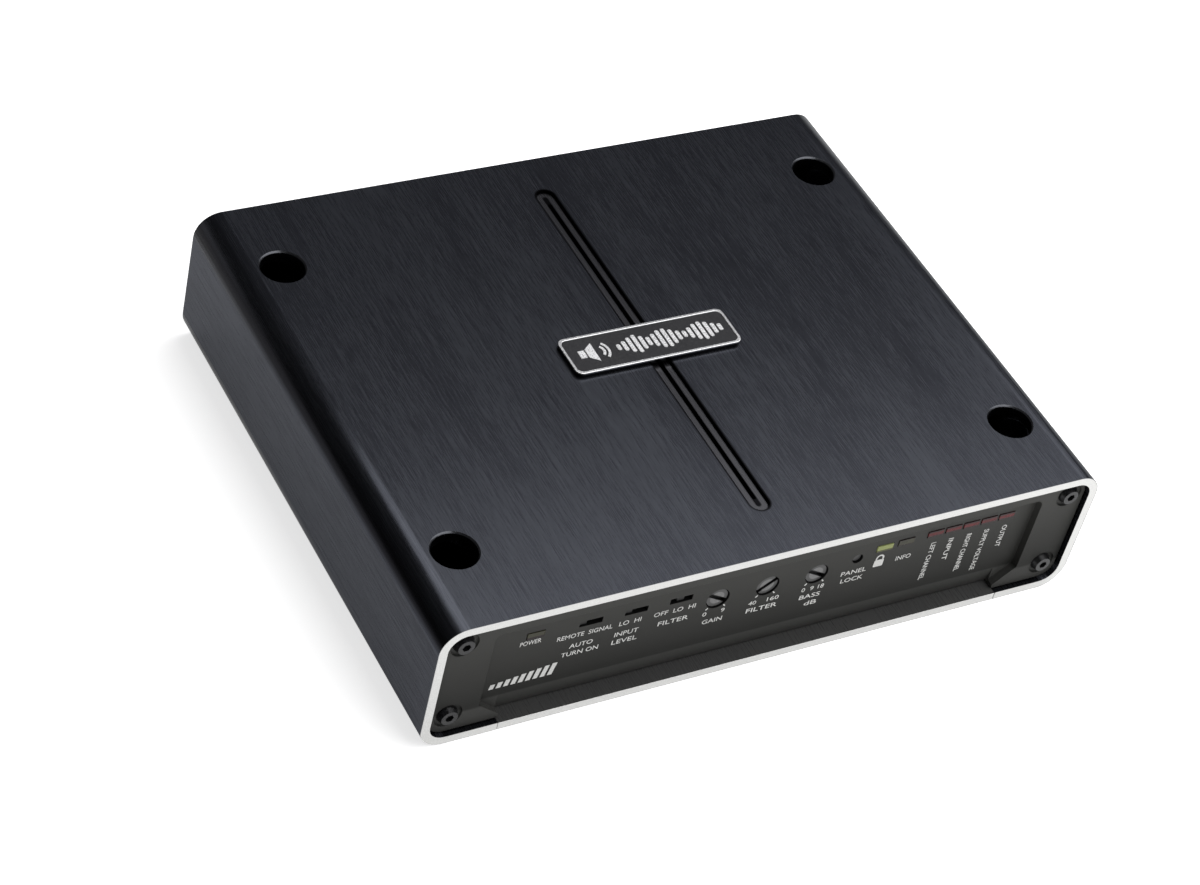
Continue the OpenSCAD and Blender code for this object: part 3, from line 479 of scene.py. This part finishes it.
# Plain grained surfaces, as (name, dark, light, roughness, metallic, scale)
PLAIN_SURFACES = (
    ("black_screw", (0.012, 0.012, 0.013), (0.030, 0.030, 0.031), (0.24, 0.4), 0.7, 2600.0),
    ("circuit_board", (0.010, 0.06, 0.03), (0.03, 0.12, 0.06), (0.3, 0.45), 0.0, 700.0),
    ("plated_screw", (0.52, 0.52, 0.53), (0.74, 0.74, 0.75), (0.22, 0.38), 1.0, 2600.0),
    ("epoxy", (0.014, 0.014, 0.014), (0.028, 0.028, 0.028), (0.5, 0.7), 0.0, 3500.0),
    ("thermal_pad", (0.26, 0.30, 0.32), (0.36, 0.40, 0.42), (0.6, 0.8), 0.0, 1800.0),
    ("ferrite", (0.04, 0.04, 0.04), (0.08, 0.08, 0.08), (0.5, 0.7), 0.0, 2200.0),
    ("powder_core", (0.5, 0.42, 0.06), (0.66, 0.56, 0.1), (0.4, 0.6), 0.0, 1500.0),
    ("capacitor_sleeve", (0.014, 0.018, 0.04), (0.03, 0.035, 0.07), (0.25, 0.4), 0.0, 900.0),
    ("blue_plastic", (0.02, 0.035, 0.11), (0.04, 0.06, 0.18), (0.4, 0.55), 0.0, 2200.0),
    ("black_plastic", (0.012, 0.012, 0.012), (0.026, 0.026, 0.026), (0.42, 0.6), 0.0, 3200.0),
    ("gold_plate", (0.66, 0.44, 0.14), (0.84, 0.60, 0.24), (0.16, 0.3), 1.0, 2400.0),
    ("brass_contact", (0.52, 0.39, 0.15), (0.7, 0.54, 0.24), (0.26, 0.42), 1.0, 2200.0),
    ("tinned_contact", (0.5, 0.49, 0.44), (0.68, 0.66, 0.6), (0.26, 0.42), 1.0, 2200.0),
    ("badge_ink", (0.80, 0.80, 0.81), (0.94, 0.94, 0.94), (0.2, 0.35), 0.6, 2500.0),
    ("white_ink", (0.42, 0.42, 0.41), (0.60, 0.60, 0.58), (0.45, 0.6), 0.0, 4200.0),
    ("white_plastic", (0.72, 0.72, 0.70), (0.82, 0.82, 0.80), (0.35, 0.5), 0.0, 2400.0),
    ("red_plastic", (0.36, 0.02, 0.02), (0.5, 0.04, 0.035), (0.35, 0.5), 0.0, 2400.0),
)


def make_materials():
    """Every material by its slot's name; the dials get theirs in dress_nodes."""
    made = {row[0]: grained(*row) for row in PLAIN_SURFACES}
    made["anodised_case"] = anodised("anodised_case", (0.038, 0.040, 0.048), (0.063, 0.067, 0.078))
    made["anodised_cover"] = anodised("anodised_cover", (0.068, 0.068, 0.067), (0.078, 0.078, 0.077), 0.2)
    made["panel"] = panel_paint("panel")
    made["badge_metal"] = badge_metal("badge_metal")
    made["badge_face"] = grained("badge_face", (0.010, 0.010, 0.012), (0.020, 0.020, 0.022), (0.16, 0.26),
                                 0.0, 1500.0, Coat_Weight=0.4, Coat_Roughness=0.1)
    made["spring_steel"] = grained("spring_steel", (0.36, 0.37, 0.39), (0.5, 0.51, 0.53), (0.3, 0.45), 1.0,
                                   2000.0, (1, 0.03, 1))
    made["copper_wire"] = grained("copper_wire", (0.38, 0.12, 0.04), (0.62, 0.24, 0.09), (0.22, 0.38), 1.0,
                                  900.0, (1, 1, 0.05))
    made["green_lens"] = lens("green_lens", (0.022, 0.022, 0.014), (0.040, 0.039, 0.022), (0, 0, 0), 0.0)
    made["red_lens"] = lens("red_lens", (0.055, 0.004, 0.005), (0.095, 0.007, 0.009), (0.4, 0.01, 0.01),
                            0.01)
    made["lever_plastic"] = grained("lever_plastic", (0.010, 0.010, 0.010), (0.022, 0.022, 0.022),
                                    (0.4, 0.55), 0.0, 2400.0, Specular_IOR_Level=0.2)
    made["fuse_plastic"] = grained("fuse_plastic", (0.03, 0.24, 0.07), (0.07, 0.38, 0.13), (0.12, 0.25),
                                   0.0, 800.0, Coat_Weight=0.5, Coat_Roughness=0.06)
    return made


# ---------------------------------------------------------------- helpers for pieces

def dress_nodes(made):
    """Each CAD node takes its slot's material; the dials' rings follow their own axes."""
    slot_of = {s["node"]: s["material_slot"] for s in frame["record"]["subparts"]}
    for name, node in nodes.items():
        node.data.materials.clear()
        if slot_of[name] == "dial_plastic":
            node.data.materials.append(dial_face(name + "_plastic", centre(name)))
        else:
            node.data.materials.append(made[slot_of[name]])


# Settings of the softened edges: angles in degrees, and how near vertices are welded, in metres
EDGE_SEGMENTS = 2
EDGE_ANGLE = 32
FLAT_ANGLE = 0.4
NODE_WELD = 1e-6
PIECE_WELD = 1e-7


def soften(names, width):
    """Rounds the edges of CAD nodes with modifiers, which leave their meshes as they are."""
    for name in names:
        node = nodes[name]
        weld = node.modifiers.new("weld", "WELD")
        weld.merge_threshold = NODE_WELD
        flat = node.modifiers.new("flatten", "DECIMATE")
        flat.decimate_type = "DISSOLVE"
        flat.angle_limit = radians(FLAT_ANGLE)
        round_off = node.modifiers.new("edges", "BEVEL")
        round_off.width = width
        round_off.segments = EDGE_SEGMENTS
        round_off.limit_method = "ANGLE"
        round_off.angle_limit = radians(EDGE_ANGLE)
        round_off.use_clamp_overlap = True
        round_off.harden_normals = True
        round_off.miter_outer = "MITER_ARC"


def finish_piece(name, bm, material, body=BODY, smooth=False):
    """Turns a bmesh, built in place, into a piece that rides a body."""
    bmesh.ops.remove_doubles(bm, verts=bm.verts, dist=PIECE_WELD)
    bmesh.ops.recalc_face_normals(bm, faces=bm.faces)
    mesh = bpy.data.meshes.new(name)
    bm.to_mesh(mesh)
    bm.free()
    for polygon in mesh.polygons:
        polygon.use_smooth = smooth
    mesh.materials.append(material)
    piece = bpy.data.objects.new(name, mesh)
    bpy.context.scene.collection.objects.link(piece)
    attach(piece, body)


# Each face of the case that carries marks: (u, v, rise) in millimetres to a place in the row frame
def on_badge(u, v, rise):
    return Vector((u * MM, v * MM, plate_high.z + rise * MM))


def on_controls(u, v, rise):
    return Vector((u * MM, RECESS_FLOOR_Y - rise * MM, v * MM))


def on_rear(u, v, rise):
    return Vector((-u * MM, rear_high.y + rise * MM, v * MM))


# Heights of the marks over their face, in millimetres: ink from below to above, and raised marks
INK_BELOW = -0.01
INK_ABOVE = 0.03
BADGE_RISE = 0.15
FUSE_RISE = 0.12


def add_prism(bm, place, outline, high=INK_ABOVE):
    """Flat mark: a polygon raised between two heights on one face of the case."""
    lower = [bm.verts.new(place(u, v, INK_BELOW)) for u, v in outline]
    upper = [bm.verts.new(place(u, v, high)) for u, v in outline]
    bm.faces.new(lower)
    bm.faces.new(upper)
    for i in range(len(outline)):
        j = (i + 1) % len(outline)
        bm.faces.new((lower[i], lower[j], upper[j], upper[i]))


def arc_band(middle, r0, r1, start, end, steps=12):
    """Outline of a band between two radii and two angles in degrees."""
    turns = [radians(start + (end - start) * i / steps) for i in range(steps + 1)]
    outer = [(middle[0] + r1 * cos(a), middle[1] + r1 * sin(a)) for a in turns]
    inner = [(middle[0] + r0 * cos(a), middle[1] + r0 * sin(a)) for a in reversed(turns)]
    return outer + inner


def round_bar(u0, u1, v0, v1, r, steps=4):
    """Outline of a rectangle with round corners."""
    points = []
    corners = ((u1 - r, v1 - r, 0), (u0 + r, v1 - r, 90), (u0 + r, v0 + r, 180), (u1 - r, v0 + r, 270))
    for cu, cv, first in corners:
        for i in range(steps + 1):
            a = radians(first + 90 * i / steps)
            points.append((cu + r * cos(a), cv + r * sin(a)))
    return points


def word_mesh(word):
    """Flat mesh of one word of plain lettering, 1 unit high at most."""
    curve = bpy.data.curves.new("word", "FONT")
    curve.body = word
    curve.extrude = 0.5
    curve.offset = 0.004
    curve.resolution_u = 3
    holder = bpy.data.objects.new("word", curve)
    bpy.context.scene.collection.objects.link(holder)
    bpy.context.view_layer.update()
    mesh = bpy.data.meshes.new_from_object(holder.evaluated_get(bpy.context.evaluated_depsgraph_get()))
    bpy.data.objects.remove(holder)
    bpy.data.curves.remove(curve)
    return mesh


def add_word(bm, place, word, u0, u1, v0, v1, turned=False, high=INK_ABOVE):
    """Fits a word to a box on one face; a turned word reads downwards."""
    mesh = word_mesh(word)
    xs = [v.co.x for v in mesh.vertices]
    ys = [v.co.y for v in mesh.vertices]
    x0, y0 = min(xs), min(ys)
    width, height = max(xs) - x0, max(ys) - y0
    for vertex in mesh.vertices:
        along, up = (vertex.co.x - x0) / width, (vertex.co.y - y0) / height
        rise = high if vertex.co.z > 0 else INK_BELOW
        if turned:
            u, v = u0 + up * (u1 - u0), v1 - along * (v1 - v0)
        else:
            u, v = u0 + along * (u1 - u0), v0 + up * (v1 - v0)
        vertex.co = place(u, v, rise)
    bm.from_mesh(mesh)
    bpy.data.meshes.remove(mesh)


# ---------------------------------------------------------------- badge marks

def badge_marks(made):
    """Loudspeaker pictogram and a row of level bars on the badge."""
    bm = bmesh.new()
    add_prism(bm, on_badge, [(-20.4, -1.3), (-18.6, -1.3), (-18.6, 1.3), (-20.4, 1.3)], high=BADGE_RISE)
    add_prism(bm, on_badge, [(-18.2, -1.5), (-15.8, -3.3), (-15.8, 3.3), (-18.2, 1.5)], high=BADGE_RISE)
    for r in (1.7, 3.0):
        add_prism(bm, on_badge, arc_band((-15.4, 0), r, r + 0.7, -48, 48), high=BADGE_RISE)
    heights = (2.0, 3.4, 5.2, 6.4, 4.6, 3.0, 4.4, 6.2, 6.6, 5.0, 3.2, 2.2, 3.8, 5.6, 6.5, 5.4, 3.6, 2.4)
    first_u, pitch, width = -9.6, 1.74, 1.12
    for i, h in enumerate(heights):
        u = first_u + pitch * i
        add_prism(bm, on_badge, round_bar(u, u + width, -h / 2, h / 2, 0.4), high=BADGE_RISE)
    finish_piece("badge_marks", bm, made["badge_ink"])


# ---------------------------------------------------------------- printing on the control panel

# Words as (text, left, right, bottom, top) in millimetres on the panel
CONTROL_WORDS = (
    ("POWER", -68.8, -63.2, 24.4, 25.9),
    ("REMOTE  SIGNAL", -58.7, -43.8, 22.9, 24.4),
    ("AUTO", -54.7, -48.4, 19.2, 20.7),
    ("TURN ON", -56.4, -46.4, 16.5, 18.0),
    ("LO  HI", -42.0, -36.0, 22.9, 24.4),
    ("INPUT", -42.5, -36.0, 19.2, 20.7),
    ("LEVEL", -42.7, -35.8, 16.5, 18.0),
    ("OFF  LO  HI", -32.5, -21.0, 22.9, 24.4),
    ("FILTER", -30.6, -22.2, 19.2, 20.7),
    ("0", -18.0, -16.9, 18.5, 19.9),
    ("9", -12.8, -11.8, 18.5, 19.9),
    ("GAIN", -17.4, -11.8, 15.5, 17.0),
    ("40", -4.9, -2.7, 18.2, 19.6),
    ("160", 0.4, 3.8, 18.2, 19.6),
    ("FILTER", -4.9, 3.9, 15.5, 17.0),
    ("0", 10.4, 11.4, 18.2, 19.6),
    ("9", 12.9, 13.9, 18.2, 19.6),
    ("18", 15.2, 16.9, 18.2, 19.6),
    ("BASS", 10.5, 16.5, 15.4, 16.9),
    ("dB", 12.6, 16.2, 12.7, 14.2),
    ("PANEL", 21.3, 28.7, 20.5, 22.0),
    ("LOCK", 21.9, 28.4, 17.8, 19.3),
    ("INFO", 37.2, 41.7, 21.4, 22.9),
)
# Words that read downwards, as (text, left, right, bottom, top)
LEVEL_WORDS = (
    ("LEFT CHANNEL", 47.2, 48.7, 11.3, 24.8),
    ("INPUT", 52.5, 54.0, 16.9, 24.8),
    ("RIGHT CHANNEL", 58.0, 59.5, 11.2, 24.8),
    ("SUPPLY VOLTAGE", 63.4, 64.9, 9.9, 24.8),
    ("OUTPUT", 69.0, 70.5, 16.9, 24.7),
)


def control_printing(made):
    """White printing on the control panel's recess."""
    bm = bmesh.new()
    for word, u0, u1, v0, v1 in CONTROL_WORDS:
        add_word(bm, on_controls, word, u0, u1, v0, v1)
    for word, u0, u1, v0, v1 in LEVEL_WORDS:
        add_word(bm, on_controls, word, u0, u1, v0, v1, turned=True)
    finish_piece("control_words", bm, made["white_ink"])
    bm = bmesh.new()
    # Padlock: body, then shackle
    add_prism(bm, on_controls, round_bar(30.6, 33.4, 21.0, 23.4, 0.35))
    add_prism(bm, on_controls, arc_band((32.0, 24.0), 0.75, 1.2, 0, 180))
    for u in (30.8, 32.75):
        add_prism(bm, on_controls, [(u, 23.3), (u + 0.45, 23.3), (u + 0.45, 24.05), (u, 24.05)])
    # Slanted bars that grow to the right, in the panel's lower left corner
    slant, pitch, width = 0.9, 1.95, 1.25
    for i in range(9):
        u, h = -74.6 + pitch * i, 1.6 + 0.3 * i
        top = 11.2 + h
        add_prism(bm, on_controls, [(u, 11.2), (u + width, 11.2), (u + width + slant * h / 4, top),
                                    (u + slant * h / 4, top)])
    # A tick at each end of each dial's travel
    for node in ("gain_dial", "crossover_dial", "boost_dial"):
        middle = centre(node) / MM
        for a in (230, 310):
            add_prism(bm, on_controls, arc_band((middle.x, middle.z), 3.4, 4.2, a - 2.5, a + 2.5, 2))
    finish_piece("control_marks", bm, made["white_ink"])


# ---------------------------------------------------------------- printing and rings on the connection panel

REAR_WORDS = (
    ("LEFT", -51.2, -46.8, 27.6, 29.1),
    ("RIGHT", -64.6, -59.4, 27.6, 29.1),
    ("INPUT", -59.0, -52.0, 8.0, 9.5),
    ("REMOTE", -38.7, -30.3, 27.6, 29.1),
    ("SPEAKERS", -13.6, -2.4, 29.6, 31.1),
    ("FUSES", 19.6, 26.4, 29.6, 31.1),
    ("POWER", 48.2, 55.8, 29.6, 31.1),
)


def rear_printing(made):
    """White printing beside the sockets and terminals."""
    bm = bmesh.new()
    for word, u0, u1, v0, v1 in REAR_WORDS:
        add_word(bm, on_rear, word, u0, u1, v0, v1)
    for i, sign in enumerate("+--+"):
        u = -centre(f"speaker_{i + 1}_screw").x / MM
        add_prism(bm, on_rear, [(u - 0.8, 8.6), (u + 0.8, 8.6), (u + 0.8, 9.0), (u - 0.8, 9.0)])
        if sign == "+":
            add_prism(bm, on_rear, [(u - 0.2, 9.0), (u + 0.2, 9.0), (u + 0.2, 9.6), (u - 0.2, 9.6)])
            add_prism(bm, on_rear, [(u - 0.2, 8.0), (u + 0.2, 8.0), (u + 0.2, 8.6), (u - 0.2, 8.6)])
    for i, word in enumerate(("+12V", "REM", "GND")):
        u = -centre(f"power_{i + 1}_screw").x / MM
        add_word(bm, on_rear, word, u - 2.4, u + 2.4, 8.0, 9.5)
    finish_piece("rear_words", bm, made["white_ink"])


def lathe_y(bm, middle, profile, steps=48):
    """Ring turned about an axis along Y; profile is (radius, y) pairs in metres."""
    rings = []
    for i in range(steps):
        a = 2 * pi * i / steps
        rings.append([bm.verts.new((middle.x + r * cos(a), y, middle.z + r * sin(a))) for r, y in profile])
    for i in range(steps):
        here, there = rings[i], rings[(i + 1) % steps]
        for k in range(len(profile)):
            m = (k + 1) % len(profile)
            bm.faces.new((here[k], here[m], there[m], there[k]))


# The phono wells: depth behind the panel and height of their middles; each ring's name, X and plastic
WELL_DEPTH = 6 * MM
PHONO_Z = 18 * MM
PHONO_RINGS = (("input_ring_left", 49, "white_plastic"), ("input_ring_right", 62, "red_plastic"))
# Half section of a ring, as (radius, height) in millimetres
RING_PROFILE = ((4.35, 0), (4.35, 0.8), (4.6, 1.1), (5.7, 1.1), (5.95, 0.8), (5.95, 0))


def input_rings(made):
    """Coloured insulating ring at the foot of each phono socket."""
    floor_y = rear_low.y - WELL_DEPTH
    profile = [(r * MM, floor_y + (h + 0.02) * MM) for r, h in RING_PROFILE]
    for name, x, plastic in PHONO_RINGS:
        bm = bmesh.new()
        lathe_y(bm, Vector((x * MM, 0, PHONO_Z)), profile)
        finish_piece(name, bm, made[plastic], smooth=True)


def fuse_numbers(made):
    """Rating moulded on the end of each fuse."""
    for name in ("left_fuse", "right_fuse"):
        z, end_y = centre(name).z / MM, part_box(name)[1].y

        def on_fuse(u, v, rise):
            return Vector((-u * MM, end_y + rise * MM, v * MM))

        middle = -centre(name).x / MM
        bm = bmesh.new()
        add_word(bm, on_fuse, "30", middle - 1.6, middle + 1.6, z - 1.3, z + 1.3, high=FUSE_RISE)
        finish_piece(name + "_rating", bm, made["white_ink"], body=name)


# ---------------------------------------------------------------- the scene

# The one green lens that glows, and half the height of the strip left free of painted shade in each row of
# lenses
LIT_LENS_X = (0.029, 0.0355)
LIT_COLOUR = (0.16, 0.18, 0.065)
LIT_STRENGTH = 0.35
GREEN_STRIP = 0.75 * MM
RED_STRIP = 0.5 * MM

add_camera()
add_world()
add_stage()
materials = make_materials()
lit_between(materials["green_lens"], *LIT_LENS_X, LIT_COLOUR, LIT_STRENGTH)
shade_lens_edges(materials["green_lens"], centre("indicator_leds").z, GREEN_STRIP)
shade_lens_edges(materials["red_lens"], centre("level_leds").z, RED_STRIP)
dress_nodes(materials)
soften(["chassis"], 0.25 * MM)
soften(["bottom_cover", "front_panel"], 0.2 * MM)
soften(["badge_rim"], 0.15 * MM)
badge_marks(materials)
control_printing(materials)
rear_printing(materials)
input_rings(materials)
fuse_numbers(materials)

bpy.context.scene.view_settings.view_transform = "Standard"
